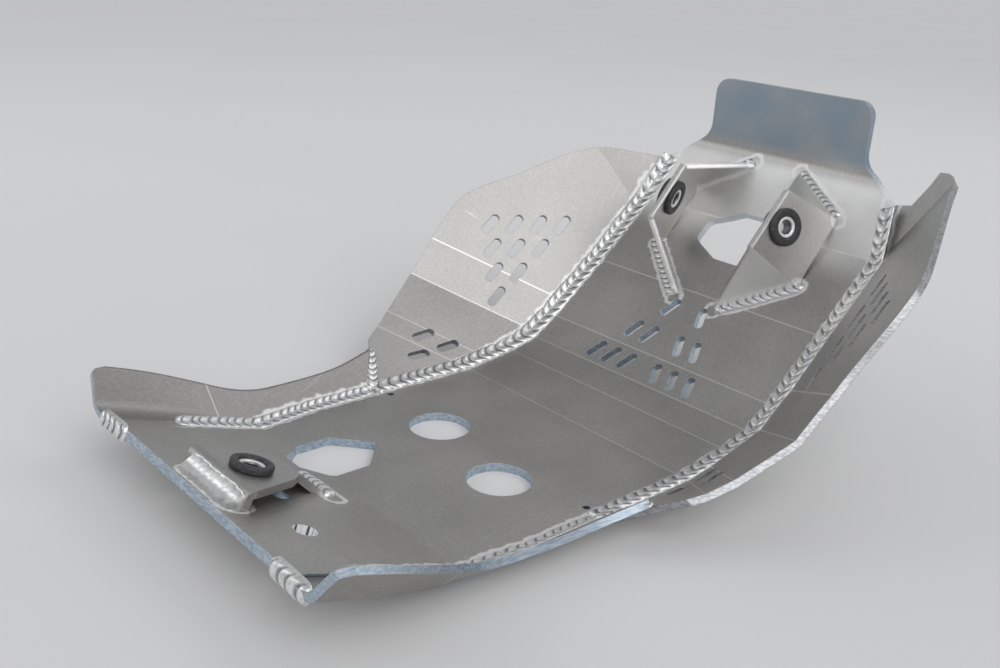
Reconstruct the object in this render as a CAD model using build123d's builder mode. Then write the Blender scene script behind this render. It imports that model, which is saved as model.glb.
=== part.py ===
# Skid plate for an off-road motorcycle, welded up from folded aluminium sheet
# Millimetres: +Y to the front of the motorcycle, +X to its right, +Z up
# The origin is on the underside of the flat belly

import os
from math import cos, radians, sin

from build123d import *

os.makedirs("parts", exist_ok=True)

# Sheet thicknesses and bends
plate_wall = 5.0
wing_wall = 3.8
bracket_wall = 4.0
bend_radius = 8.0
bracket_bend = 5.0

# Side profile of the centre plate: belly, tail and the flats of the nose, each a length at a slope
belly_rear = -88.0
belly_front = 67.0
tail_length = 88.5
tail_slope = 18.4
lead_length = 38.4
lead_slope = 7.8
heel_length = 21.6
heel_slope = 15.3
knee_length = 22.3
knee_slope = 33.0
ramp_length = 55.0
ramp_slope = 38.2
upper_ramp_length = 60.9
upper_ramp_slope = 40.8
bow_length = 49.7
bow_slope = 61.8
tongue_length = 46.6
tongue_slope = 90.5

# Half-widths of the centre plate along the seam, and of its tongue
tail_half_width = 85.0
bend_half_width = 91.0
seam_half_width = 95.0
nose_half_width = 87.0
tongue_half_width = 60.0
full_width_from = -50.0
shoulder_drop = 20.5
shoulder_round = 14.0
tongue_corner = 10.0

# Holes of the centre plate
drain_radius = 18.0
left_drain = (-32.0, -3.0)
right_drain = (36.5, -17.0)
pin_radius = 2.0
pin_spread = 84.6
tail_bolt_radius = 6.0
tail_bolt_spread = 46.0
tail_bolt_from_edge = 31.6
tooling_radius = 5.0
right_tooling_hole = (7.3, 42.5)
left_tooling_hole = (-32.0, 64.6)
window_centre = -35.5
window_half_width = 20.2
window_neck = 7.2
window_rear = -99.5
window_rear_corner = -85.0
window_front_corner = -64.0
window_front = -45.0
window_round = 3.0

# Vent slots of the ramp, in rows that widen downwards
vent_length = 16.5
vent_width = 6.0
vent_lean = 20.0
vent_rows = 3
vent_first_spread = 12.5
vent_pitch_across = 13.3
vent_pitch_down = 24.8
vent_top_from_knee = 38.0

# Six-sided opening that crosses the bow bend
port_from_ramp = 21.8
port_slope = 45.0
port_neck = 9.0
port_waist = 32.0
port_lower_corner = 11.2
port_upper_corner = 28.4
port_height = 39.5
port_round = 6.0

# Wings: directions of their folds, as an angle swept back and a rise
wing_sweep = 45.0
wing_rise = 22.0
tail_wing_rise = 38.0
first_fold = 86.0
second_fold = 129.0
third_fold = 155.0
joint_rear = -6.0
joint_run = 26.0
joint_advance = 15.0

# Slots of the wings
slot_length = 17.0
slot_width = 6.0
slot_rows = 4
slot_top = 72.6
slot_top_from_ramp = -33.5
slot_pitch_along = 11.5
slot_pitch_across = -13.2
slot_row_back = -12.8
slot_row_down = -12.1
right_slot_shift = 28.0
low_slot_height = 17.5
low_slot_pitch = 24.0
low_slot_rise = 13.5
low_slot_rear = -26.0

# Front brackets, as corners of the outer face of the right one: feet and heads stand on the plate
foot_inner = (16.3, 181.3)
foot_outer = (57.4, 208.5)
head_inner = (17.8, 254.8)
head_outer = (57.7, 243.0)
arm_lower = (42.0, 175.0, 107.0)
arm_upper_along = 2.8
arm_upper_across = 43.9
foot_reach = 1.07

# Rear bracket, measured along the tail from its rear edge, and across it
rear_bracket_height = 10.0
rear_foot = 10.0
rear_fold = 11.0
front_fold = 52.0
front_foot = 70.0
rear_bracket_left = -30.0
rear_bracket_right = 26.0
waist_left = -18.0
waist_right = 12.0
waist_from_edge = 44.6
front_leg_right = 5.5
foot_sink = 0.1

# Rubber grommets and their metal sleeves
grommet_radius = 12.0
grommet_neck_radius = 9.0
grommet_flange = 3.0
grommet_round = 1.4
sleeve_radius = 6.5
sleeve_bore = 4.0
sleeve_inset = 0.6
sleeve_chamfer = 1.2
grommet_fit = 0.15
front_grommet_along = 14.1
front_grommet_across = 24.0
rear_grommet_across = 0.0
rear_grommet_along = 27.3

# Weld beads: how far each reaches beside its line, how high it stands, and its ripples
ripple_pitch = 5.0
ripple_depth = 0.35
seam_reach = 9.0
seam_half_bead = 6.2
seam_height = 3.5
tail_seam_height = 2.2
tail_seam_from = -140.0
foot_weld_reach = 5.5
foot_weld_height = 3.6
head_weld_reach = 4.2
head_weld_height = 3.0
rear_weld_reach = 7.0
rear_weld_height = 8.0
rear_weld_from_edge = 10.5
front_weld_overhang = 3.0
front_weld_reach = 5.5
front_weld_height = 4.0
joint_reach = 4.6
joint_height = 2.4
corner_weld_from = 69.0
corner_weld_reach = 4.5
corner_weld_height = 4.0
weld_root = 0.5

# Far enough to pass through everything
beyond = 400.0


def walk(start, flats):
    """Corners of a chain of flats, each a length at a slope"""
    corners = [start]
    for length, slope in flats:
        y, z = corners[-1]
        corners.append((y + length * cos(radians(slope)), z + length * sin(radians(slope))))
    return corners


tail_end = (
    belly_rear - tail_length * cos(radians(tail_slope)),
    plate_wall + tail_length * sin(radians(tail_slope)),
)
nose_flats = [
    (lead_length, lead_slope),
    (heel_length, heel_slope),
    (knee_length, knee_slope),
    (ramp_length, ramp_slope),
    (upper_ramp_length, upper_ramp_slope),
    (bow_length, bow_slope),
    (tongue_length, tongue_slope),
]
nose_top = walk((belly_front, plate_wall), nose_flats)
plate_top = [tail_end, (belly_rear, plate_wall)] + nose_top
knee_top = nose_top[3]
ramp_top = nose_top[4]
bow_bend = nose_top[5]
tongue_bend = nose_top[6]
tongue_top = nose_top[7]


def height_at(y):
    """Height of the top of the centre plate at y"""
    for (y0, z0), (y1, z1) in zip(plate_top, plate_top[1:]):
        if y0 <= y <= y1:
            return z0 + (z1 - z0) * (y - y0) / (y1 - y0)
    raise ValueError("off the plate")


def on_plate(x, y):
    """Point on the top of the centre plate"""
    return Vector(x, y, height_at(y))


# Plan of the seam, right side from the tail to the nose
nose_end = bow_bend[0] + 0.34 * bow_length
seam_line = [
    (tail_half_width, tail_end[0]),
    (bend_half_width, belly_rear),
    (seam_half_width, full_width_from),
    (seam_half_width, bow_bend[0]),
    (nose_half_width, nose_end),
]


def seam_at(y):
    """Half-width of the centre plate at y"""
    for (x0, y0), (x1, y1) in zip(seam_line, seam_line[1:]):
        if y0 <= y <= y1:
            return x0 + (x1 - x0) * (y - y0) / (y1 - y0)
    raise ValueError("off the seam")


def seam_point(y):
    """Point on the right seam, on top of the centre plate"""
    return on_plate(seam_at(y), y)


past_tail = tail_end[0] - plate_wall
past_nose = 2 * tongue_bend[0]
seam_sides = [(tail_half_width, past_tail)] + seam_line + [(nose_half_width, past_nose)]
with BuildSketch() as seam_plan:
    with BuildLine():
        Polyline(*seam_sides, *[(-x, y) for x, y in reversed(seam_sides)], close=True)
    make_face()

# Front view of the nose, up to the tongue
shoulder = height_at(nose_end)
nose_side = [
    (beyond, -plate_wall),
    (beyond, shoulder),
    (nose_half_width, shoulder),
    (tongue_half_width, shoulder + shoulder_drop),
    (tongue_half_width, tongue_top[1]),
]
with BuildSketch(Plane.XZ) as nose_view:
    with BuildLine():
        Polyline(*nose_side, *[(-x, z) for x, z in reversed(nose_side)], close=True)
    make_face()
    fillet(nose_view.vertices().group_by(Axis.Y)[-1], tongue_corner)
    fillet(nose_view.vertices().group_by(Axis.Y)[-3], shoulder_round)

# Planes of the tail, the ramp and the opening above it, with local y along the slope
tail_direction = Vector(0, cos(radians(tail_slope)), -sin(radians(tail_slope)))
tail_plane = Plane(
    origin=(0, *tail_end),
    x_dir=(1, 0, 0),
    z_dir=Vector(1, 0, 0).cross(tail_direction),
)


def slope_plane(y, z, slope):
    """Plane across a slope, with local x to the right and local y up the slope"""
    return Plane(
        origin=(0, y, z),
        x_dir=(1, 0, 0),
        z_dir=(0, -sin(radians(slope)), cos(radians(slope))),
    )


ramp_plane = slope_plane(*knee_top, ramp_slope)
port_y = ramp_top[0] + port_from_ramp
port_plane = slope_plane(port_y, height_at(port_y), port_slope)

# Centre plate
with BuildPart() as centre_plate:
    with BuildSketch(Plane.YZ):
        with BuildLine():
            FilletPolyline(*plate_top, radius=bend_radius)
            offset(amount=plate_wall, side=Side.RIGHT)
        make_face()
    extrude(amount=seam_half_width + plate_wall, both=True)
    extrude(seam_plan.sketch, amount=beyond, both=True, mode=Mode.INTERSECT)
    extrude(nose_view.sketch, amount=beyond, both=True, mode=Mode.INTERSECT)
    with BuildSketch():
        with Locations(left_drain, right_drain):
            Circle(drain_radius)
        with Locations((-pin_spread, 0), (pin_spread, 0)):
            Circle(pin_radius)
        with BuildLine():
            window = [
                (window_centre + window_neck, window_rear),
                (window_centre + window_half_width, window_rear_corner),
                (window_centre + window_half_width, window_front_corner),
                (window_centre, window_front),
                (window_centre - window_half_width, window_front_corner),
                (window_centre - window_half_width, window_rear_corner),
                (window_centre - window_neck, window_rear),
            ]
            FilletPolyline(*window, radius=window_round, close=True)
        make_face()
    extrude(amount=beyond, both=True, mode=Mode.SUBTRACT)
    with BuildSketch(tail_plane):
        with Locations((-tail_bolt_spread, tail_bolt_from_edge), (tail_bolt_spread, tail_bolt_from_edge)):
            Circle(tail_bolt_radius)
        with Locations(right_tooling_hole, left_tooling_hole):
            Circle(tooling_radius)
    extrude(amount=2 * plate_wall, both=True, mode=Mode.SUBTRACT)
    with BuildSketch(ramp_plane):
        for row in range(vent_rows):
            for column in range(row + 1):
                for side in (-1, 1):
                    across = side * (vent_first_spread + column * vent_pitch_across)
                    with Locations((across, vent_top_from_knee - row * vent_pitch_down)):
                        SlotOverall(vent_length, vent_width, rotation=90 + side * vent_lean)
    extrude(amount=4 * plate_wall, both=True, mode=Mode.SUBTRACT)
    with BuildSketch(port_plane):
        with BuildLine():
            port = [
                (port_neck, 0),
                (port_waist, port_lower_corner),
                (port_waist, port_upper_corner),
                (port_neck, port_height),
                (-port_neck, port_height),
                (-port_waist, port_upper_corner),
                (-port_waist, port_lower_corner),
                (-port_neck, 0),
            ]
            FilletPolyline(*port, radius=port_round, close=True)
        make_face()
    extrude(amount=4 * plate_wall, both=True, mode=Mode.SUBTRACT)

# Upright plane of the joint between a front wing and the rear wing behind it
joint_plane = Plane(
    origin=(seam_half_width, joint_rear, 0),
    x_dir=(joint_run, joint_advance, 0),
    z_dir=(joint_advance, -joint_run, 0),
)


def fold_direction(sweep, rise):
    """Direction of the right wing's folds, outwards, swept back and rising"""
    flat = cos(radians(rise))
    return Vector(flat * cos(radians(sweep)), -flat * sin(radians(sweep)), sin(radians(rise)))


def wing_strip(seam_points, fold):
    """Folded sheet whose upper face runs from the seam points along the fold direction"""
    across = Plane(
        origin=seam_points[0],
        x_dir=Vector(0, 0, 1).cross(fold),
        z_dir=fold,
    )
    flat = [across.to_local_coords(point) for point in seam_points]
    with BuildPart() as strip:
        with BuildSketch(across):
            with BuildLine():
                FilletPolyline(*[(p.X, p.Y) for p in flat], radius=bend_radius)
                offset(amount=wing_wall, side=Side.RIGHT)
            make_face()
        extrude(amount=2 * seam_half_width, both=True)
    return strip.part


front_fold_direction = fold_direction(wing_sweep, wing_rise)
front_seam = [
    seam_point(full_width_from),
    seam_point(belly_front),
    seam_point(first_fold),
    seam_point(second_fold),
    seam_point(third_fold),
]
web_run = (Vector(seam_half_width, *bow_bend) - front_seam[-1]).normalized()
front_seam.append(front_seam[-1] + web_run * (upper_ramp_length + ramp_length + bow_length))
front_strip = wing_strip(front_seam, front_fold_direction)

# Plane of the main web of the right front wing: local x up the seam, local y away from it
web_plane = Plane(
    origin=front_seam[-2] + web_run * ((ramp_top[0] - third_fold) / web_run.Y),
    x_dir=web_run,
    z_dir=web_run.cross(front_fold_direction),
)
low_plane = Plane(
    origin=front_seam[1],
    x_dir=(0, 1, 0),
    z_dir=Vector(0, 1, 0).cross(front_fold_direction),
)


def front_wing(top_edge, nose_edge, fold_foot, fold_head, fold_angle, slot_shift):
    """Right front wing, whose front corner is bent inwards about a line on its web"""
    foot = web_plane.from_local_coords(Vector(*fold_foot))
    head = web_plane.from_local_coords(Vector(*fold_head))
    flat_corner = Plane(origin=foot, x_dir=head - foot, z_dir=web_plane.z_dir)
    bent_corner = Plane(flat_corner.location * Rotation(X=fold_angle))
    mitre = Plane(flat_corner.location * Rotation(X=90 + fold_angle / 2))

    def outline(plane):
        """Closed outline of the unfolded wing, in the coordinates of a plane"""
        def place(point):
            local = plane.to_local_coords(web_plane.from_local_coords(Vector(*point)))
            return (local.X, local.Y)
        inner = [
            (nose_edge[-1][0], -seam_half_width / 3),
            (-seam_half_width / 2, -seam_half_width / 3),
            (-2 * seam_half_width, 0),
            (-2 * seam_half_width, top_edge[0][1]),
        ]
        with BuildSketch() as shape:
            with BuildLine():
                Spline(*[place(p) for p in top_edge])
                Polyline(*[place(p) for p in [top_edge[-1]] + nose_edge + inner + [top_edge[0]]])
            make_face()
        return shape.sketch

    with BuildPart() as corner:
        with BuildSketch(bent_corner):
            add(outline(flat_corner))
        extrude(amount=wing_wall)
        split(bisect_by=mitre, keep=Keep.TOP)
    with BuildPart() as wing:
        add(front_strip)
        with BuildSketch(web_plane):
            add(outline(web_plane))
        extrude(amount=seam_half_width, both=True, mode=Mode.INTERSECT)
        split(bisect_by=mitre, keep=Keep.BOTTOM)
        add(corner.part)
        split(bisect_by=joint_plane, keep=Keep.BOTTOM)
        extrude(seam_plan.sketch, amount=beyond, both=True, mode=Mode.SUBTRACT)
        with BuildSketch(web_plane):
            for row in range(slot_rows):
                for column in range(slot_rows - row):
                    along = slot_top_from_ramp + slot_shift + column * slot_pitch_along + row * slot_row_back
                    away = slot_top + column * slot_pitch_across + row * slot_row_down
                    with Locations((along, away)):
                        SlotOverall(slot_length, slot_width)
        extrude(amount=3 * wing_wall, both=True, mode=Mode.SUBTRACT)
        with BuildSketch(low_plane):
            low_slots = [
                (low_slot_rear, low_slot_height),
                (low_slot_rear + low_slot_pitch, low_slot_height),
                (low_slot_rear + low_slot_pitch / 2, low_slot_height + low_slot_rise),
            ]
            with Locations(*low_slots):
                SlotOverall(slot_length, slot_width)
        extrude(amount=3 * wing_wall, both=True, mode=Mode.SUBTRACT)
    return wing.part


left_top_edge = [(-176, 81), (-117, 89), (-70, 97), (-28, 99.5), (2, 85), (37, 68.5), (64, 52)]
left_nose_edge = [(71.5, 43.3), (95.5, 0)]
right_top_edge = [(-176, 81), (-117, 89), (-53, 92), (0, 105), (25, 93), (73, 61), (104, 42)]
right_nose_edge = [(116, 34), (118, 27), (110, 22), (98, 12), (100, 0)]
left_wing = front_wing(left_top_edge, left_nose_edge, (51, 0), (67, 52), 16, 0)
right_wing = front_wing(right_top_edge, right_nose_edge, (62, 0), (112, 42), 30, right_slot_shift)

# Rear wings
rear_fold_direction = fold_direction(0, tail_wing_rise)
rear_seam = [
    seam_point(tail_end[0]) * 2 - seam_point(belly_rear),
    seam_point(belly_rear),
    seam_point(full_width_from),
    seam_point(belly_front),
]
rear_strip = wing_strip(rear_seam, rear_fold_direction)
rear_edge = [(-163, 51.5), (-144, 45), (-121, 35), (-91, 21.5), (-58, 18), (-20, 18.5), (15, 24.5)]
with BuildPart() as rear_wing:
    add(rear_strip)
    with BuildSketch(Plane.YZ):
        with BuildLine():
            Spline(*rear_edge)
            heel = [rear_edge[-1], (rear_edge[-1][0], -plate_wall), (-165, -plate_wall), (-171, 22)]
            FilletPolyline(*heel, (-176, 49), rear_edge[0], radius=4)
        make_face()
    extrude(amount=beyond, mode=Mode.INTERSECT)
    split(bisect_by=joint_plane, keep=Keep.TOP)
    extrude(seam_plan.sketch, amount=beyond, both=True, mode=Mode.SUBTRACT)

# Front brackets: a middle with the grommet, a leg down to the ramp and a leg up to the bow
arm_low = Vector(*arm_lower)
foot_in = on_plate(*foot_inner)
foot_out = on_plate(*foot_outer)
head_in = on_plate(*head_inner)
head_out = on_plate(*head_outer)
middle_plane = Plane(
    origin=arm_low,
    x_dir=foot_out - arm_low,
    z_dir=(foot_out - arm_low).cross(head_out - arm_low),
)
arm_high = middle_plane.from_local_coords(Vector(arm_upper_along, arm_upper_across))
front_grommet_plane = Plane(
    origin=middle_plane.from_local_coords(Vector(front_grommet_along, front_grommet_across)),
    x_dir=middle_plane.x_dir,
    z_dir=middle_plane.z_dir,
)


def flat_piece(corners, wall):
    """Flat sheet with its outer face on the corners, which run so that its wall lies behind it"""
    edge = corners[1] - corners[0]
    plane = Plane(origin=corners[0], x_dir=edge, z_dir=edge.cross(corners[2] - corners[0]))
    local = [plane.to_local_coords(corner) for corner in corners]
    with BuildPart() as piece:
        with BuildSketch(plane):
            with BuildLine():
                Polyline(*[(point.X, point.Y) for point in local], close=True)
            make_face()
        extrude(amount=wall)
    return piece.part


def reach_from(arm, foot):
    """Point past a foot, inside the plate, on the line from the arm"""
    return arm + (foot - arm) * foot_reach


middle = flat_piece([arm_low, arm_high, head_out, foot_out], bracket_wall)
lower_leg = flat_piece([arm_low, reach_from(arm_low, foot_out), reach_from(arm_low, foot_in)], bracket_wall)
upper_leg = flat_piece([arm_high, reach_from(arm_high, head_in), reach_from(arm_high, head_out)], bracket_wall)
with BuildPart() as front_bracket:
    add(middle)
    add(lower_leg)
    add(upper_leg)
    with BuildSketch(front_grommet_plane):
        Circle(grommet_neck_radius + grommet_fit)
    extrude(amount=2 * bracket_wall, both=True, mode=Mode.SUBTRACT)
    add(centre_plate.part, mode=Mode.SUBTRACT)

# Rear bracket: a low tab over the tail, folded down to it at both ends
taper_from = rear_fold + bracket_bend + foot_sink
tail_side = Plane(origin=tail_plane.origin, x_dir=tail_direction, z_dir=(1, 0, 0))
rear_grommet_plane = Plane(
    origin=tail_plane.from_local_coords(Vector(rear_grommet_across, rear_grommet_along, rear_bracket_height)),
    x_dir=tail_plane.x_dir,
    z_dir=tail_plane.z_dir,
)


def past(fold, foot):
    """Point past a foot of the rear bracket, inside the plate"""
    return (fold + (foot - fold) * (1 + foot_sink), -foot_sink * rear_bracket_height)


with BuildPart() as rear_bracket:
    with BuildSketch(tail_side):
        with BuildLine():
            tab = [
                past(rear_fold, rear_foot),
                (rear_fold, rear_bracket_height),
                (front_fold, rear_bracket_height),
                past(front_fold, front_foot),
            ]
            FilletPolyline(*tab, radius=bracket_bend)
            offset(amount=bracket_wall, side=Side.RIGHT)
        make_face()
    extrude(amount=tongue_half_width, both=True)
    with BuildSketch(tail_plane):
        with BuildLine():
            tab_plan = [
                (rear_bracket_left, 0),
                (rear_bracket_right, 0),
                (rear_bracket_right, taper_from),
                (waist_right, waist_from_edge),
                (front_leg_right, front_fold),
                (front_leg_right, 2 * front_fold),
                (waist_left, 2 * front_fold),
                (waist_left, front_fold),
                (rear_bracket_left, taper_from),
            ]
            Polyline(*tab_plan, close=True)
        make_face()
    extrude(amount=beyond, both=True, mode=Mode.INTERSECT)
    with BuildSketch(rear_grommet_plane):
        Circle(grommet_neck_radius + grommet_fit)
    extrude(amount=1.5 * bracket_wall, both=True, mode=Mode.SUBTRACT)
    add(centre_plate.part, mode=Mode.SUBTRACT)


def grommet(seat):
    """Rubber ring with a groove for the sheet, whose outer face is on the seat plane"""
    side = Plane(origin=seat.origin, x_dir=seat.x_dir, z_dir=-seat.y_dir)
    bore = sleeve_radius + grommet_fit
    with BuildPart() as ring:
        with BuildSketch(side) as section:
            with Locations((bore, -bracket_wall - grommet_flange)):
                Rectangle(
                    grommet_radius - bore,
                    bracket_wall + 2 * grommet_flange,
                    align=(Align.MIN, Align.MIN),
                )
            fillet(section.vertices().group_by(Axis.X)[-1], grommet_round)
            with Locations((grommet_neck_radius, -bracket_wall)):
                Rectangle(grommet_radius, bracket_wall, align=(Align.MIN, Align.MIN), mode=Mode.SUBTRACT)
        revolve(axis=Axis(seat.origin, seat.z_dir))
    return ring.part


def sleeve(seat):
    """Metal tube through the grommet, with chamfered ends"""
    half = bracket_wall / 2 + grommet_flange - sleeve_inset
    middle_of_sheet = Plane(origin=seat.origin - seat.z_dir * bracket_wall / 2, x_dir=seat.x_dir, z_dir=seat.z_dir)
    with BuildPart() as tube:
        with BuildSketch(middle_of_sheet):
            Circle(sleeve_radius)
            Circle(sleeve_bore, mode=Mode.SUBTRACT)
        extrude(amount=half, both=True)
        chamfer(tube.edges().filter_by(GeomType.CIRCLE).sort_by(SortBy.RADIUS)[:2], sleeve_chamfer)
    return tube.part


def bead(start, end, up, reach, height, half_width=None):
    """Rippled weld bead from start to end on a surface, round ended, or flat ended and half_width wide"""
    run = end - start
    ripples = max(2, round(run.length / ripple_pitch))
    pitch = run.length / ripples
    crown = (reach**2 + height**2) / (2 * height)
    valley = height - ripple_depth
    side = Plane(origin=start, x_dir=run, z_dir=run.cross(up))
    section = Plane(origin=start, x_dir=run.cross(up), z_dir=run)
    with BuildPart() as weld:
        with BuildSketch(side):
            with BuildLine():
                for i in range(ripples):
                    ThreePointArc(
                        (i * pitch, valley),
                        ((i + 0.4) * pitch, height),
                        ((i + 1) * pitch, valley),
                    )
                Polyline((run.length, valley), (run.length, -weld_root), (0, -weld_root), (0, valley))
            make_face()
        extrude(amount=half_width or reach, both=True)
        with BuildSketch(section):
            with Locations((0, crown - height)):
                Circle(crown)
        extrude(amount=run.length, mode=Mode.INTERSECT)
        if half_width is None:
            with BuildSketch(Plane(origin=(start + end) / 2, x_dir=run, z_dir=run.cross(up).cross(run))):
                SlotOverall(run.length, 2 * reach)
            extrude(amount=reach + height, both=True, mode=Mode.INTERSECT)
    return weld.part


def seam_weld(stations, fold, reach, height):
    """Weld along the right seam through the stations, between the centre plate and a wing"""
    with BuildPart() as weld:
        for start, end in zip(stations, stations[1:]):
            run = (end - start).normalized()
            plate_up = Vector(1, 0, 0).cross(run).normalized()
            wing_up = fold.cross(run).normalized()
            add(bead(start, end, plate_up + wing_up, reach, height, seam_half_bead))
    return weld.part


def cut_back(weld, neighbours):
    """Weld without what lies inside or behind the sheets it joins"""
    with BuildPart() as piece:
        add(weld)
        for neighbour in neighbours:
            add(neighbour, mode=Mode.SUBTRACT)
    return piece.solids().sort_by(SortBy.VOLUME)[-1]


plate = centre_plate.part
bend_stations = [belly_front] + [y for y, z in nose_top[1:6]] + [nose_end]
front_stations = [seam_point(y) for y in [joint_rear] + bend_stations]
tail_stations = [seam_point(y) for y in (tail_seam_from, belly_rear, full_width_from, joint_rear)]
front_seam_weld = seam_weld(front_stations, front_fold_direction, seam_reach, seam_height)
tail_seam_weld = seam_weld(tail_stations, rear_fold_direction, seam_reach, tail_seam_height)
right_front_seam = cut_back(front_seam_weld, [plate, right_wing, rear_wing.part])
left_front_seam = cut_back(front_seam_weld, [plate, left_wing, rear_wing.part])
rear_seam_weld = cut_back(tail_seam_weld, [plate, rear_wing.part, right_wing])

# Weld up the joint of the two wings
joint_foot = seam_point(joint_rear)
joint_head = joint_foot + Vector(joint_run, joint_advance, joint_run * sin(radians(tail_wing_rise)))
joint_up = low_plane.z_dir * -1 + Vector(-sin(radians(tail_wing_rise)), 0, cos(radians(tail_wing_rise)))
joint_bead = bead(joint_foot, joint_head, joint_up, joint_reach, joint_height)
joint_weld = cut_back(joint_bead, [plate, rear_wing.part, right_wing, front_seam_weld, tail_seam_weld])

# Welds of the brackets
ramp_up = Vector(0, -sin(radians(ramp_slope)), cos(radians(ramp_slope)))
bow_up = Vector(0, -sin(radians(bow_slope)), cos(radians(bow_slope)))
foot_weld = cut_back(
    bead(foot_in, foot_out + (foot_out - foot_in) * 0.1, ramp_up, foot_weld_reach, foot_weld_height),
    [plate, front_bracket.part],
)
head_weld = cut_back(
    bead(head_in, head_out, bow_up, head_weld_reach, head_weld_height),
    [plate, front_bracket.part],
)


def on_tail(across, along):
    """Point on the top of the tail"""
    return tail_plane.from_local_coords(Vector(across, along))


rear_weld = cut_back(
    bead(
        on_tail(rear_bracket_left, rear_weld_from_edge),
        on_tail(rear_bracket_right, rear_weld_from_edge),
        tail_plane.z_dir,
        rear_weld_reach,
        rear_weld_height,
    ),
    [plate, rear_bracket.part],
)
front_weld = cut_back(
    bead(
        on_tail(waist_left - front_weld_overhang, front_foot),
        on_tail(front_leg_right + front_weld_overhang, front_foot),
        tail_plane.z_dir,
        front_weld_reach,
        front_weld_height,
    ),
    [plate, rear_bracket.part],
)

edge_middle = tail_plane.from_local_coords(Vector(0, 0, -plate_wall / 2))
corner_weld = cut_back(
    bead(
        edge_middle + Vector(corner_weld_from, 0, 0),
        edge_middle + Vector(tail_half_width + corner_weld_reach, 0, 0),
        tail_direction * -1,
        corner_weld_reach,
        corner_weld_height,
    ),
    [plate, rear_wing.part],
)

front_grommet = grommet(front_grommet_plane)
front_sleeve = sleeve(front_grommet_plane)
pieces = {
    "centre_plate": plate,
    "right_front_wing": right_wing,
    "left_front_wing": left_wing.mirror(Plane.YZ),
    "rear_bracket": rear_bracket.part,
    "rear_bracket_rear_weld": rear_weld,
    "rear_bracket_front_weld": front_weld,
    "rear_grommet": grommet(rear_grommet_plane),
    "rear_sleeve": sleeve(rear_grommet_plane),
    "right_front_seam_weld": right_front_seam,
    "left_front_seam_weld": left_front_seam.mirror(Plane.YZ),
}
paired = {
    "rear_wing": rear_wing.part,
    "rear_seam_weld": rear_seam_weld,
    "wing_joint_weld": joint_weld,
    "tail_corner_weld": corner_weld,
    "front_bracket": front_bracket.part,
    "bracket_foot_weld": foot_weld,
    "bracket_head_weld": head_weld,
    "front_grommet": front_grommet,
    "front_sleeve": front_sleeve,
}
for name, piece in paired.items():
    pieces[f"right_{name}"] = piece
    pieces[f"left_{name}"] = piece.mirror(Plane.YZ)

for name, piece in pieces.items():
    piece.label = name
    export_step(piece, f"parts/{name}.step")
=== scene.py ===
# %% [markdown]
# # A welded motorcycle skid plate
# The real object is a shield of folded aluminium sheet that hangs under an off-road engine. A folded centre
# plate carries two pairs of side wings, three small brackets and three rubber grommets with metal sleeves.
# The sheets arrive here as a finished model in metres: +Y to the front of the motorcycle, +X to its right
# and +Z up. This notebook gives the sheets their satin finish and lays the rippled weld beads on the seams.

# %% Load the sheets and keep their box
from math import atan2, cos, pi, radians, sin, sqrt

import bmesh
import bpy
import numpy as np
from mathutils import Matrix, Vector


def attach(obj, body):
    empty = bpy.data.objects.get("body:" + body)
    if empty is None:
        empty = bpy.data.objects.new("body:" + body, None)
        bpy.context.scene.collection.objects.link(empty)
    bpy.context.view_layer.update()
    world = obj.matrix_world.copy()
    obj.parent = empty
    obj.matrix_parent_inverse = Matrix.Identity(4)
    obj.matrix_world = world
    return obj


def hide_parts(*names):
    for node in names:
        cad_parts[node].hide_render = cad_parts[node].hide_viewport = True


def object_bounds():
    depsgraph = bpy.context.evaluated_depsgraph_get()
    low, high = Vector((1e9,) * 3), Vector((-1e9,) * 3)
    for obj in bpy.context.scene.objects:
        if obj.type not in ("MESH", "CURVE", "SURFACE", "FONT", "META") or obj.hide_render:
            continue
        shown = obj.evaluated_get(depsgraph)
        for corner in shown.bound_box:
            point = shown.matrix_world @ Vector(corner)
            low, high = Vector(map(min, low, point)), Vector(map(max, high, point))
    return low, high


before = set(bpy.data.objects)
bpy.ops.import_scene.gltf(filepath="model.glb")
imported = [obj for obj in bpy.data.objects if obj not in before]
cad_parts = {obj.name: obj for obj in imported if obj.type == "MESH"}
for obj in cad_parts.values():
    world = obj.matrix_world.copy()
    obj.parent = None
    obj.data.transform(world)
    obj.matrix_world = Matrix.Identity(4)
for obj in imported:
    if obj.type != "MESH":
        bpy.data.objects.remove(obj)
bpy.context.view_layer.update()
mm = 0.001


def add_object(name, data):
    """Object in the scene that shows a mesh, a lamp or a camera"""
    made = bpy.data.objects.new(name, data)
    bpy.context.scene.collection.objects.link(made)
    return made


def add_mesh(name, points, faces):
    """Object in the scene with a mesh from points and faces"""
    mesh = bpy.data.meshes.new(name)
    mesh.from_pydata(points, [], faces)
    return add_object(name, mesh)


# %% [markdown]
# ## Camera
# The photograph looks down from behind and from the right. Its camera was worked out from the two round
# drain holes and the parallel folds, so it's given here by its place and the three directions of its frame.
# A look-at constraint would be simpler, but it can't hold the slight roll of the real camera.

# %% Camera
image_width = 1000
focal_pixels = 1054.84
sensor_width = 36.0
camera_place = Vector((0.3981, -0.3586, 0.2747))
camera_forward = Vector((-0.6863, 0.6362, -0.3526)).normalized()
camera_right = Vector((0.661, 0.748, 0.062))
camera_right = (camera_right - camera_forward * camera_right.dot(camera_forward)).normalized()
camera_up = camera_right.cross(camera_forward)

lens = bpy.data.cameras.new("camera")
lens.sensor_width = sensor_width
lens.lens = focal_pixels * sensor_width / image_width
lens.clip_start, lens.clip_end = 0.01, 50
camera = add_object("camera", lens)
axes = Matrix((camera_right, camera_up, -camera_forward)).transposed()
camera.matrix_world = Matrix.Translation(camera_place) @ axes.to_4x4()
bpy.context.scene.camera = camera
print("lens in mm:", round(lens.lens, 2))

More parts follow.
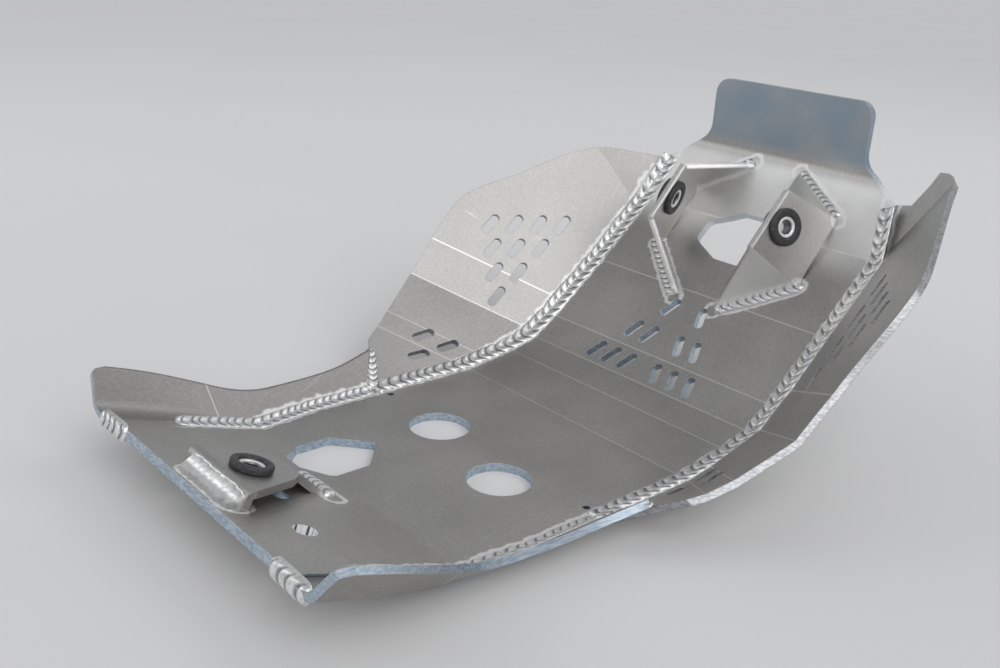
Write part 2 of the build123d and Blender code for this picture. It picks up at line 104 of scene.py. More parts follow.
# %% [markdown]
# ## Shader maths as Python
# A finish is a tree of shader nodes, and wiring one by hand hides the idea behind it. The small class Field
# wraps one output socket, so that `1 - mask * 0.5` adds the Math nodes for us. Everything that isn't plain
# arithmetic comes from one method of Finish, which takes the node's type, its settings and its sockets.


# %% A number that varies over a surface, and the finish it belongs to
class Field:
    """An output socket that takes part in sums like a number"""

    def __init__(self, finish, socket):
        self.finish = finish
        self.socket = socket

    def math(self, operation, *values):
        return self.finish.node("ShaderNodeMath", {"operation": operation}, dict(enumerate(values)))

    def __add__(self, other):
        return self.math("ADD", self, other)

    def __sub__(self, other):
        return self.math("SUBTRACT", self, other)

    def __rsub__(self, other):
        return self.math("SUBTRACT", other, self)

    def __mul__(self, other):
        return self.math("MULTIPLY", self, other)

    def __abs__(self):
        return self.math("ABSOLUTE", self)

    __radd__ = __add__
    __rmul__ = __mul__

    def rise(self, low, high):
        """0 below low and 1 above high, with a soft step between"""
        settings = {"interpolation_type": "SMOOTHSTEP"}
        return self.finish.node("ShaderNodeMapRange", settings, {"Value": self, 1: low, 2: high})


class Finish:
    """A material made of nodes around one Principled BSDF"""

    def __init__(self, name):
        self.material = bpy.data.materials.new(name)
        self.material.use_nodes = True
        self.tree = self.material.node_tree
        self.shader = self.tree.nodes["Principled BSDF"]

    def node(self, kind, settings, values, output=0):
        """Any node, from its settings, the values or links of its sockets and the output that counts"""
        made = self.tree.nodes.new(kind)
        for key, value in settings.items():
            if key == "stops":
                stops = made.color_ramp.elements
                stops.remove(stops[-1])
                stops[0].position, stops[0].color = value[0]
                for place, colour in value[1:]:
                    stops.new(place).color = colour
            elif key == "interpolation":
                made.color_ramp.interpolation = value
            else:
                setattr(made, key, value)
        for key, value in values.items():
            if isinstance(value, Field):
                self.tree.links.new(value.socket, made.inputs[key])
            else:
                made.inputs[key].default_value = value
        return Field(self, made.outputs[output])

    def place(self):
        return self.node("ShaderNodeTexCoord", {}, {}, "Object")

    def facing(self):
        """Normal of the face itself, without smoothing"""
        return self.node("ShaderNodeNewGeometry", {}, {}, "True Normal")

    def dot(self, one, other):
        return self.vector("DOT_PRODUCT", one, other, output=1)

    def part(self, vector, axis):
        return self.node("ShaderNodeSeparateXYZ", {}, {0: vector}, "XYZ".index(axis))

    def at(self, axis):
        return self.part(self.place(), axis)

    def vector(self, operation, *values, output=0):
        return self.node("ShaderNodeVectorMath", {"operation": operation}, dict(enumerate(values)), output)

    def mix(self, mask, without, where):
        """Colour that goes from one to the other with a mask (6, 7 and 2 are a Mix node's colour sockets)"""
        values = {"Factor": mask, 6: without, 7: where}
        return self.node("ShaderNodeMix", {"data_type": "RGBA"}, values, 2)

    def noise(self, scale, detail, place=None):
        values = {"Vector": place or self.place(), "Scale": scale, "Detail": detail}
        return self.node("ShaderNodeTexNoise", {}, values)

    def bump(self, height, strength, distance, **normal):
        values = {"Height": height, "Strength": strength, "Distance": distance, **normal}
        return self.node("ShaderNodeBump", {}, values)

    def feed(self, **values):
        """Links or sets sockets of the Principled BSDF, with _ for a space in their names"""
        for key, value in values.items():
            socket = self.shader.inputs[key.replace("_", " ")]
            if isinstance(value, Field):
                self.tree.links.new(value.socket, socket)
            else:
                socket.default_value = value


print("shader maths ready")

# %% [markdown]
# ## Where the seams and the folds run
# A fold in sheet metal catches the light as a thin bright line, painted here as a highlight, and beside a
# weld the acid that cleans the metal leaves a milky rim. Both follow lines that the maker marked out on the
# sheet, so the
# finish needs the same lines: the side profile of the centre plate, its half-width along the seam and the
# directions of the wings' folds.

# %% Lines of the sheet work, in metres
tail_rear_y, belly_rear_y, belly_front_y, bow_y = -0.17198, -0.088, 0.067, 0.2339
tail_seam_y, taper_y, joint_y, seam_front_y = -0.140, -0.05, -0.006, 0.2508
tail_half_width, half_width = 0.085, 0.095
plate_profile = [
    (tail_rear_y, 0.03293), (belly_rear_y, 0.005), (belly_front_y, 0.005), (0.10504, 0.01021),
    (0.12588, 0.01591), (0.14458, 0.02806), (0.18780, 0.06207), (bow_y, 0.10186), (0.25739, 0.14566),
    (0.25698, 0.19226),
]
seam_plan = [
    (tail_rear_y, tail_half_width), (belly_rear_y, 0.091), (taper_y, half_width), (bow_y, half_width),
    (seam_front_y, 0.087),
]
web_fold_ys = [belly_front_y, 0.086, 0.129, 0.155]
front_flare, rear_flare, tail_slope = radians(22), radians(38), radians(18.4)
front_fold = Vector((cos(front_flare) * sqrt(0.5), -cos(front_flare) * sqrt(0.5), sin(front_flare)))
rear_fold = Vector((cos(rear_flare), 0, sin(rear_flare)))


def along(table, y):
    """Value at y of a list of (y, value) pairs"""
    ys, values = zip(*table)
    return float(np.interp(y, ys, values))


def seam_point(y):
    """Point of the right seam at y, on the upper face of the centre plate"""
    return Vector((along(seam_plan, y), y, along(plate_profile, y)))


def plate_normal(y):
    """Upward normal of the flat of the centre plate at y"""
    for (y0, z0), (y1, z1) in zip(plate_profile, plate_profile[1:]):
        if y <= max(y0, y1):
            break
    slope = atan2(z1 - z0, y1 - y0)
    return Vector((0, -sin(slope), cos(slope)))


print("seam in mm:", [[round(v / mm) for v in seam_point(y)] for y in (tail_seam_y, joint_y, seam_front_y)])

# %% [markdown]
# ## Satin sheet
# Rolled aluminium isn't a mirror: the rolls leave a fine grain that blurs reflections more in one direction,
# handling leaves light scratches, and the sheet clouds a little. Noise that is stretched along the rolling
# direction gives the grain, and a longer one, cut off near its top, gives the scratches. The cloud is a large
# soft noise. Bump alone would look flat from afar, so the grain also shifts colour and roughness.


# %% Grain, scratches and clouds
def turned_place(finish, angle, stretch):
    """Object coordinates turned about Z, in which a texture is stretched along Y and Z"""
    values = {"Vector": finish.place(), "Rotation": (0, 0, radians(angle)), "Scale": stretch}
    return finish.node("ShaderNodeMapping", {"vector_type": "TEXTURE"}, values)


def sheet_surface(finish, grain_angle):
    """Fields from 0 to 1 for the grain, the scratches and the clouds of a rolled sheet"""
    grain = finish.noise(2300, 4, turned_place(finish, grain_angle, (1, 6, 6)))
    speckle = finish.noise(1500, 2)
    lines = finish.noise(2600, 1, turned_place(finish, grain_angle + 17, (1, 80, 80)))
    crossed = finish.noise(1900, 1, turned_place(finish, grain_angle - 48, (1, 50, 50)))
    scratches = lines.rise(0.69, 0.78) + crossed.rise(0.71, 0.80)
    clouds = finish.noise(16, 4).rise(0.32, 0.72)
    return grain * 0.6 + speckle * 0.4, scratches, clouds


print("grain ready")

# %% [markdown]
# ## Fold lines, weld rims and cut edges
# These three are masks. A fold line is where the distance to a fold is under about half a millimetre, and
# there the finish paints a highlight. A rim is a wobbling band beside a weld, on the side of the sheet that
# was welded. A cut edge is any face that stands square to the sheet, which the shader finds from the normal
# of the face and the normal of the sheet at that place. The two halves mirror each other, so the masks
# describe the right one only.


# %% Masks
def on_right(finish, vector):
    """A place or a normal of the left half as its mirror image in the right half"""
    x = finish.at("X")
    parts = [finish.part(vector, "X") * x.math("SIGN", x), finish.part(vector, "Y"), finish.part(vector, "Z")]
    return finish.node("ShaderNodeCombineXYZ", {}, dict(enumerate(parts)))


line_core = 0.35


def near_any(value, places, width):
    """1 where a coordinate is close to one of some places, fading from the core of the line to its width"""
    nearest = None
    for place in places:
        gap = abs(value - place)
        nearest = gap if nearest is None else nearest.math("MINIMUM", nearest, gap)
    return 1 - nearest.rise(width * line_core, width)


grey_per_metre = 10


def width_ramp(finish, y):
    """Half-width of the centre plate at y, as a ramp of greys"""
    start, end = tail_rear_y, seam_front_y
    stops = [((at - start) / (end - start), (half * grey_per_metre,) * 3 + (1,)) for at, half in seam_plan]
    share = finish.node("ShaderNodeMapRange", {}, {"Value": y, 1: start, 2: end})
    grey = finish.node("ShaderNodeValToRGB", {"stops": stops}, {0: share})
    return finish.part(grey, "X") * (1 / grey_per_metre)


def rim_mask(finish, inner, outer):
    """Milky band on both sides of the seam, between two distances from it"""
    x = abs(finish.at("X"))
    y = finish.at("Y")
    wobble = (finish.noise(170, 3) - 0.5) * (5 * mm)
    gap = abs(x - width_ramp(finish, y)) + wobble
    band = gap.rise(inner - 1.5 * mm, inner) * (1 - gap.rise(outer - 0.8 * mm, outer + 0.6 * mm))
    return band * y.rise(tail_seam_y - 10 * mm, tail_seam_y + 12 * mm)


def line_rim(finish, start, end, inner, outer):
    """Milky band round a straight weld between two points, mirrored to both sides"""
    run = end - start
    offset = finish.vector("SUBTRACT", on_right(finish, finish.place()), tuple(start))
    share = finish.dot(offset, tuple(run / run.length_squared))
    share = share.math("MINIMUM", share.math("MAXIMUM", share, 0.0), 1.0)
    foot = finish.node("ShaderNodeCombineXYZ", {}, {k: share * run[k] for k in range(3)})
    gap = finish.vector("LENGTH", finish.vector("SUBTRACT", offset, foot), output=1)
    gap = gap + (finish.noise(260, 3) - 0.5) * (4 * mm)
    return gap.rise(inner - 1.0 * mm, inner) * (1 - gap.rise(outer - 0.7 * mm, outer + 0.5 * mm))


def welded_side(finish):
    """1 on the faces that look up or to the rear, where all the welds are"""
    facing = finish.facing()
    return (finish.part(facing, "Z") - finish.part(facing, "Y") * 0.6).rise(-0.05, 0.05)


def cut_mask(finish, coordinate, low, high, flats):
    """1 on faces square to the sheet, whose normal is given for each stretch of a coordinate

    A ramp holds colours from 0 to 1, so each normal is halved and shifted on its way in, and back again.
    """
    stops = []
    for at, normal in flats:
        stops.append(((at - low) / (high - low), tuple(0.5 + 0.5 * n for n in normal) + (1,)))
    share = finish.node("ShaderNodeMapRange", {}, {"Value": coordinate, 1: low, 2: high})
    ramp = finish.node("ShaderNodeValToRGB", {"interpolation": "CONSTANT", "stops": stops}, {0: share})
    sheet_normal = finish.vector("MULTIPLY_ADD", ramp, (2, 2, 2), (-1, -1, -1))
    facing = on_right(finish, finish.facing())
    return 1 - abs(finish.dot(sheet_normal, facing)).rise(0.55, 0.75)


print("masks ready")

# %% [markdown]
# ## From masks to a finish
# One function turns the masks into the sockets of the shader, so that all sheets share one recipe: the plain
# sheet is a warm mid grey, a fold line gets a painted highlight that is paler and shinier, a rim is paler and
# rougher, and a cut edge is bluish and shinier. A narrow bevel in the normal rounds each sharp corner of the
# sheet, as the deburring tool does.

# %% The recipe for a sheet
sheet_grey = (0.36, 0.352, 0.34, 1)
sheet_pale = (0.56, 0.552, 0.535, 1)
# Milky white of the weld rims and scratches, which also paints the highlights of the fold lines and the
# bracket leg and the paler patch on the bow
rim_and_highlight_white = (0.93, 0.93, 0.92, 1)
edge_blue = (0.34, 0.43, 0.52, 1)
edge_pale = (0.58, 0.64, 0.70, 1)
# Bluish colour of the painted reflection on the tongue
reflection_blue = (0.30, 0.37, 0.43, 1)
grain_contrast, cloud_share, pale_share = 2.6, 0.35, 0.3
scratch_share, fold_highlight_share, rim_share, whiten_share = 0.22, 0.75, 0.85, 0.9


def sheet_finish(
    name, dark, pale, grain_angle, roughness, fold_highlights=None, rims=None, cuts=None, whitened=None, reflection_tint=None,
    bend=0.5 * mm, edges=(edge_blue, edge_pale),
):
    """Satin sheet; the five masks are functions that take the finish and return a mask: fold lines get a
    painted highlight, the whitening mask makes a pale, less metallic patch and the tint mask paints a bluish
    reflection
    """
    finish = Finish(name)
    grain, scratches, clouds = sheet_surface(finish, grain_angle)
    colour = finish.mix((grain - 0.5) * grain_contrast + clouds * cloud_share + pale_share, dark, pale)
    colour = finish.mix(scratches * scratch_share, colour, rim_and_highlight_white)
    rough = roughness + (grain - 0.5) * 0.3 + clouds * 0.05 - scratches * 0.06
    bump = grain + scratches * 0.6
    # Painted highlight along the fold lines: a paler colour and lower roughness stand in for the light that a
    # rounded bend catches
    if fold_highlights:
        line = fold_highlights(finish)
        colour = finish.mix(line * fold_highlight_share, colour, rim_and_highlight_white)
        rough = rough - line * 0.1
    if rims:
        rim = rims(finish)
        colour = finish.mix(rim * rim_share, colour, rim_and_highlight_white)
        rough = rough + rim * 0.12
        bump = bump + rim * finish.noise(900, 2) * 2
    if cuts:
        cut = cuts(finish)
        stripes = finish.noise(1400, 2, turned_place(finish, 0, (4, 4, 1)))
        edge = finish.mix(stripes.rise(0.35, 0.65), *edges)
        colour = finish.mix(cut, colour, edge)
        rough = rough - cut * 0.12
    metallic = 1.0
    # A whitening mask makes the colour pale and less metallic; on the right bracket's lower leg this is a
    # painted highlight in place of a reflection
    if whitened:
        patch = whitened(finish) * (clouds * 0.4 + 0.6)
        colour = finish.mix(patch * whiten_share, colour, rim_and_highlight_white)
        metallic = 1 - patch * 0.7
    # Bluish painted reflection, mixed over the colour of the tongue
    if reflection_tint:
        colour = finish.mix(reflection_tint(finish), colour, reflection_blue)
    rounded = finish.node("ShaderNodeBevel", {"samples": 4}, {"Radius": bend})
    normal = finish.bump(bump, 0.12, 0.1 * mm, Normal=rounded)
    finish.feed(Base_Color=colour, Roughness=rough, Metallic=metallic, Normal=normal)
    return finish.material


print("recipe ready")

# %% [markdown]
# ## Centre plate
# The plate is one sheet, so its folds run straight across at fixed places along Y. Its sheet normal only
# turns about X. The bracket welds sit on this sheet as well, so their rims belong to its finish. The folds
# of the tail and of the tongue get no painted highlight line.

# %% Finish of the centre plate
plate_fold_ys = [y for y, z in plate_profile[2:-2]]
tongue_y, beyond_tongue_y, tongue_foot_z = 0.2585, 0.26, 0.148


def on_plate(x, y):
    """Point on the upper face of the centre plate"""
    return Vector((x, y, along(plate_profile, y)))


foot_inner, foot_outer = on_plate(0.0163, 0.1813), on_plate(0.0574, 0.2085)
head_inner, head_outer = on_plate(0.0178, 0.2548), on_plate(0.0577, 0.2430)
tail_start = Vector((0, *plate_profile[0]))
tail_run = Vector((0, cos(tail_slope), -sin(tail_slope)))
tail_up = Vector((0, sin(tail_slope), cos(tail_slope)))


def on_tail(x, from_edge):
    """Point on the upper face of the tail, at a distance from its rear edge"""
    return tail_start + Vector((x, 0, 0)) + tail_run * from_edge


# Painted highlight along the folds of the centre plate
def plate_fold_highlights(finish):
    return near_any(finish.at("Y"), plate_fold_ys, 0.5 * mm) * 0.7


def plate_rims(finish):
    seam = rim_mask(finish, 5.4 * mm, 7.2 * mm)
    foot = line_rim(finish, foot_inner, foot_outer, 5.0 * mm, 7.0 * mm)
    head = line_rim(finish, head_inner, head_outer, 4.0 * mm, 6.4 * mm)
    rear = line_rim(finish, on_tail(0, 0.0105), on_tail(0.019, 0.0105), 8.0 * mm, 9.8 * mm)
    front = line_rim(finish, on_tail(0, 0.0715), on_tail(0.011, 0.0715), 5 * mm, 7 * mm)
    for band in (foot, head, rear, front):
        seam = seam.math("MAXIMUM", seam, band)
    return seam * welded_side(finish)


def plate_cuts(finish):
    flats = [(y, tuple(plate_normal(y + mm))) for y, z in plate_profile[:-2]] + [(tongue_y, (0, -1, 0))]
    return cut_mask(finish, finish.at("Y"), tail_rear_y, beyond_tongue_y, flats)


def bow_pale_patch(finish):
    """Paler, less metallic area round the bracket heads on the bow"""
    return finish.at("Y").rise(0.214, 0.240) * (1 - finish.at("Z").rise(0.138, tongue_foot_z))


def tongue_painted_reflection(finish):
    """Bluish tint in patches on the tongue, a painted reflection"""
    patches = finish.noise(30, 2).rise(0.3, 0.7)
    return finish.at("Z").rise(tongue_foot_z, 0.156) * (patches * 0.5 + 0.5)


plate_sheet = sheet_finish(
    "plate_sheet", sheet_grey, sheet_pale, 0, 0.44, plate_fold_highlights, plate_rims, plate_cuts, bow_pale_patch, tongue_painted_reflection
)
print("centre plate:", len(plate_sheet.node_tree.nodes), "nodes")

# %% [markdown]
# ## Wings
# The folds of a front wing run outwards and back at 45 degrees, so the sum of x and y stays the same along
# each fold, and that sum is the coordinate that finds the fold lines and the sheet normals. The rear wings
# have one fold at the start of the tail.

# %% Finish of the wings
wing_flats = [tail_seam_y, *web_fold_ys]
beyond_wing = 0.30
rear_wing_fold_y = -0.109


def wing_normal(start, end):
    """Upper normal of the right front wing between two places on the seam"""
    return (front_fold.cross(seam_point(end) - seam_point(start))).normalized()


def fold_sum(finish):
    """x + y of a place, less the half-width, which is the y where its fold line meets the seam"""
    return abs(finish.at("X")) + finish.at("Y") - half_width


# Painted highlight along the folds of a front wing
def front_wing_fold_highlights(finish):
    return near_any(fold_sum(finish), web_fold_ys, 0.6 * mm) * 0.7


def wing_rims(finish):
    return rim_mask(finish, 3.9 * mm, 5.3 * mm) * welded_side(finish)


def front_wing_cuts(finish):
    ends = wing_flats[1:] + [bow_y]
    flats = [(a, tuple(wing_normal(max(a, 0), b))) for a, b in zip(wing_flats, ends)]
    return cut_mask(finish, fold_sum(finish), tail_seam_y, beyond_wing, flats)


# Painted highlight along the fold of a rear wing
def rear_wing_fold_highlights(finish):
    return near_any(finish.at("Y"), [rear_wing_fold_y], 0.5 * mm) * 0.6


front_wing_sheet = sheet_finish(
    "front_wing_sheet", sheet_grey, sheet_pale, 0, 0.46, front_wing_fold_highlights, wing_rims, front_wing_cuts,
    edges=((0.30, 0.31, 0.32, 1), (0.48, 0.49, 0.50, 1)),
)
# The rear wings use darker greys than the other sheets: painted shade for the darker reflection that the tail
# wings show
shaded_rear_wing_sheet = sheet_finish(
    "shaded_rear_wing_sheet", (0.30, 0.295, 0.285, 1), (0.46, 0.45, 0.435, 1), 0, 0.48, rear_wing_fold_highlights, wing_rims
)
print("wings:", len(front_wing_sheet.node_tree.nodes), "and", len(shaded_rear_wing_sheet.node_tree.nodes), "nodes")

# %% [markdown]
# ## Brackets
# The front brackets are cut from 4 mm strip and were brushed before bending, so they are brighter than the
# large sheets, and their bends are wide. The leg of the right bracket that goes down to the ramp gets a
# painted
# highlight: its colour is whitened and its metallic lowered, in place of the light it reflects. The tab at
# the rear is as dull as the plate that it stands on.


# %% Finish of the brackets
arm_lower = Vector((42.0, 175.0, 107.0)) * mm
leg_normal = (foot_outer - arm_lower).cross(foot_inner - arm_lower).normalized()


def painted_leg_highlight(finish):
    """1 on the leg of the right bracket that goes down to the ramp, where a painted highlight turns the metal
    almost white in place of a reflection
    """
    return abs(finish.dot(finish.facing(), tuple(leg_normal))).rise(0.95, 0.98)


def bracket_rims(finish):
    foot = line_rim(finish, foot_inner, foot_outer, 4.5 * mm, 6.5 * mm)
    head = line_rim(finish, head_inner, head_outer, 4.0 * mm, 6.0 * mm)
    return foot.math("MAXIMUM", foot, head)


# The whitening mask paints a highlight on the lower leg of the right bracket
bracket_sheet = sheet_finish(
    "bracket_sheet", (0.60, 0.59, 0.57, 1), (0.82, 0.81, 0.79, 1), 60, 0.34, rims=bracket_rims,
    whitened=painted_leg_highlight, bend=2.5 * mm,
)
tab_sheet = sheet_finish("tab_sheet", sheet_grey, (0.50, 0.49, 0.475, 1), 0, 0.44)
sheets = {
    "centre_plate": plate_sheet,
    "front_wing": front_wing_sheet,
    "front_bracket": bracket_sheet,
    "rear_bracket": tab_sheet,
}
for name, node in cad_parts.items():
    for ending, material in sheets.items():
        if name.endswith(ending):
            node.data.materials.clear()
            node.data.materials.append(material)
print("brackets:", len(bracket_sheet.node_tree.nodes), "nodes, leg facing", [round(v, 2) for v in leg_normal])

# %% [markdown]
# ## Rear wings
# Seen closely, a rear wing isn't one flat flare. Along the belly it rises from the plate's edge at 38
# degrees. Towards the tail it stands up to 56 degrees and moves outwards, and its foot is folded in to a
# narrow flange that closes the gap to the narrower tail. Such a twisting sheet is awkward as a solid, so here
# it's a grid: one section for each place along Y, with two faces one sheet thickness apart.

# %% Section and outline of a rear wing
wing_wall = 3.8 * mm
wing_rear_y = -0.175
rear_foot_shift = Vector((15.4, -2.9)) * mm
belly_rise, tail_rise = 38, 56
flange_drop, flange_gap, bend_reach = 5.2 * mm, 0.2 * mm, 9 * mm
flange_start_y, flange_ease = -0.090, 0.018
inner_web_share, outer_web_share = 0.30, 0.22
heel_steps, web_steps = 9, 12
wing_height = [
    (-0.175, 0.0270), (-0.160, 0.0274), (-0.140, 0.0271), (-0.117, 0.0245), (-0.100, 0.0232),
    (-0.080, 0.0213), (-0.0565, 0.0198), (-0.035, 0.0199), (-0.0197, 0.0212), (-0.006, 0.0243),
    (0.010, 0.0315),
]


ease_shifts = range(-12, 13, 4)


def eased_height(y):
    """Height of the wing along its face, as the mean over 12 mm to each side"""
    return sum(along(wing_height, y + shift * mm) for shift in ease_shifts) / len(ease_shifts)


def tail_share(y):
    """1 at the rear end of the wing and 0 from its fold onwards"""
    return 1 - min(1, max(0, (y - wing_rear_y) / (belly_rear_y - wing_rear_y))) ** 2


def wing_section(y, height):
    """Inner and outer corners of the section at y, from the flange to the top edge, as (x, z)"""
    share = tail_share(y)
    seam = seam_point(y)
    if y < tail_rear_y:
        seam = tail_start + Vector((tail_half_width, 0, 0)) + tail_run * ((y - tail_start.y) / tail_run.y)
    foot = Vector((seam.x, seam.z)) + rear_foot_shift * share
    rise = radians(belly_rise + (tail_rise - belly_rise) * share)
    up, out = Vector((cos(rise), sin(rise))), Vector((sin(rise), -cos(rise))) * wing_wall
    bed = seam.z - flange_drop
    flange = min(1, max(0, (flange_start_y - y) / flange_ease))
    layers = []
    for shift, floor, rest in (
        (Vector((0, 0)), bed + wing_wall, inner_web_share), (out, bed, outer_web_share),
    ):
        heel = foot + shift
        inside = Vector((seam.x + flange_gap, floor))
        corner = Vector((heel.x - (heel.y - floor) * up.x / up.y, floor))
        wall = heel + up * (height * rest)
        turn = corner + (inside - corner).normalized() * min(bend_reach, (inside - corner).length)
        section = [inside * flange + heel * (1 - flange)]
        for t in np.linspace(0, 1, heel_steps):
            bend = turn * (1 - t) ** 2 + corner * (2 * t * (1 - t)) + wall * t**2
            section.append(bend * flange + (heel + (wall - heel) * t) * (1 - flange))
        for v in np.linspace(0, 1, web_steps + 1)[1:]:
            section.append(heel + up * (height * (rest + (1 - rest) * v)))
        layers.append(section)
    return np.array(layers)


table_step = 0.001
soft_steps = 16
wing_table_ys = np.arange(-0.182, 0.0301, table_step)
wing_table = np.array([wing_section(y, eased_height(y)) for y in wing_table_ys])
shifts = range(-soft_steps, soft_steps + 1)
soft_table = sum(np.roll(wing_table, shift, axis=0) for shift in shifts) / len(shifts)
for end in (slice(None, soft_steps + 1), slice(-soft_steps - 1, None)):
    soft_table[end] = wing_table[end]


def wing_point(y, layer, column, share):
    """Point of the wing, with the sharp turn of the seam eased out towards the top edge"""
    spot = (y - wing_table_ys[0]) / table_step
    below = int(spot)
    rest = spot - below
    sharp = wing_table[below, layer, column] * (1 - rest) + wing_table[below + 1, layer, column] * rest
    soft = soft_table[below, layer, column] * (1 - rest) + soft_table[below + 1, layer, column] * rest
    return sharp * (1 - share) + soft * share


wing_rows, wing_columns = 150, 1 + heel_steps + web_steps
row_crowding, soft_power = 1.15, 0.7
rear_corner, rear_lean, joint_lean = 7 * mm, 4 * mm, 0.4546
rear_height, joint_height = eased_height(-0.16), eased_height(0.005)


def folded_wing(name, side):
    """Closed sheet with cut edges in their own material; v goes from 0 at the heel to 1 at the top edge"""
    rows, columns = wing_rows, wing_columns
    faces, points, kinds = [], [], []
    for i in range(rows + 1):
        for layer in (0, 1):
            for j in range(columns):
                v = max(0, (j - heel_steps) / web_steps)
                round_off = max(0, (v * rear_height - (rear_height - rear_corner)) / rear_corner)
                start = wing_rear_y + rear_lean * v + rear_corner * (1 - sqrt(max(0, 1 - round_off**2)))
                end = joint_y + joint_lean * v * joint_height
                y = start + (end - start) * (i / rows) ** row_crowding
                x, z = wing_point(y, layer, j, v**soft_power)
                points.append((x * side, y, z))

    def number(i, layer, j):
        return (i * 2 + layer) * columns + j

    for i in range(rows):
        for j in range(columns - 1):
            faces.append((number(i, 0, j), number(i + 1, 0, j), number(i + 1, 0, j + 1), number(i, 0, j + 1)))
            faces.append((number(i, 1, j), number(i, 1, j + 1), number(i + 1, 1, j + 1), number(i + 1, 1, j)))
            kinds += [0, 0]
        for j in (0, columns - 1):
            faces.append((number(i, 0, j), number(i, 1, j), number(i + 1, 1, j), number(i + 1, 0, j)))
            kinds.append(1)
    for i in (0, rows):
        for j in range(columns - 1):
            faces.append((number(i, 0, j), number(i, 0, j + 1), number(i, 1, j + 1), number(i, 1, j)))
            kinds.append(1)
    piece = add_mesh(name, points, faces)
    mesh = piece.data
    mesh.materials.append(shaded_rear_wing_sheet)
    mesh.materials.append(cut_edge)
    mesh.polygons.foreach_set("material_index", kinds)
    mesh.polygons.foreach_set("use_smooth", [kind == 0 for kind in kinds])
    body = bmesh.new()
    body.from_mesh(mesh)
    bmesh.ops.remove_doubles(body, verts=body.verts, dist=0.01 * mm)
    bmesh.ops.recalc_face_normals(body, faces=body.faces)
    body.to_mesh(mesh)
    body.free()
    return piece


def cut_edge_finish():
    """Laser-cut edge: bluish, with fine lines along the sheet"""
    finish = Finish("cut_edge")
    stripes = finish.noise(1800, 3, turned_place(finish, 0, (3, 12, 1)))
    finish.feed(
        Base_Color=finish.mix(stripes.rise(0.3, 0.7), edge_blue, edge_pale),
        Roughness=0.3 + stripes * 0.15,
        Metallic=1.0,
        Normal=finish.bump(stripes, 0.2, 0.1 * mm),
    )
    return finish.material


cut_edge = cut_edge_finish()
for side, sign in (("right", 1), ("left", -1)):
    piece = folded_wing(f"{side}_tail_wing", sign)
    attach(piece, "root")
    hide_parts(f"{side}_rear_wing")
    print(piece.name, len(piece.data.polygons), "faces")

# %% [markdown]
# ## Rippled weld beads
# A hand-laid bead in aluminium looks like a row of fallen coins: each drop of filler freezes as a crescent
# that overlaps the one before. A texture can't give the crescents a real edge, so each bead is a grid of
# points that is swept along its seam and raised by a height that depends on the ripple it falls in. The
# ripples differ a little in length, width and height, with a fixed seed for each bead.


# %% Sweep a bead
bead_step = 0.35 * mm


def smooth(rows, window):
    """Running mean that keeps the ends"""
    padded = np.pad(rows, ((window, window), (0, 0)), mode="edge")
    kernel = np.ones(2 * window + 1) / (2 * window + 1)
    return np.stack([np.convolve(column, kernel, mode="valid") for column in padded.T], axis=1)


def stations_of(corners):
    """Points, normals of the two sheets and distances at even steps along a chain of corners"""
    points = np.array([list(corner[0]) for corner in corners])
    lengths = np.linalg.norm(np.diff(points, axis=0), axis=1)
    at = np.concatenate([[0], np.cumsum(lengths)])
    distance = np.linspace(0, at[-1], int(at[-1] / bead_step))
    place = np.stack([np.interp(distance, at, points[:, k]) for k in range(3)], axis=1)
    leg = np.clip(np.searchsorted(at, distance, side="right") - 1, 0, len(lengths) - 1)
    inner = np.array([list(corners[i][1]) for i in leg])
    outer = np.array([list(corners[i][2]) for i in leg])
    return place, inner, outer, distance


def unit(rows):
    """Rows of length 1"""
    return rows / np.linalg.norm(rows, axis=1, keepdims=True)


bead_columns = 27
corner_window, width_window = 8, 4
length_spread, height_spread, width_spread = 0.13, 0.12, 0.035
spare_ripples = 6
ripple_lag, ripple_skew = 0.8, 0.62
tip_width = 0.12
skirt_width, skirt_depth, sink = 0.15 * mm, 0.5 * mm, 0.02 * mm


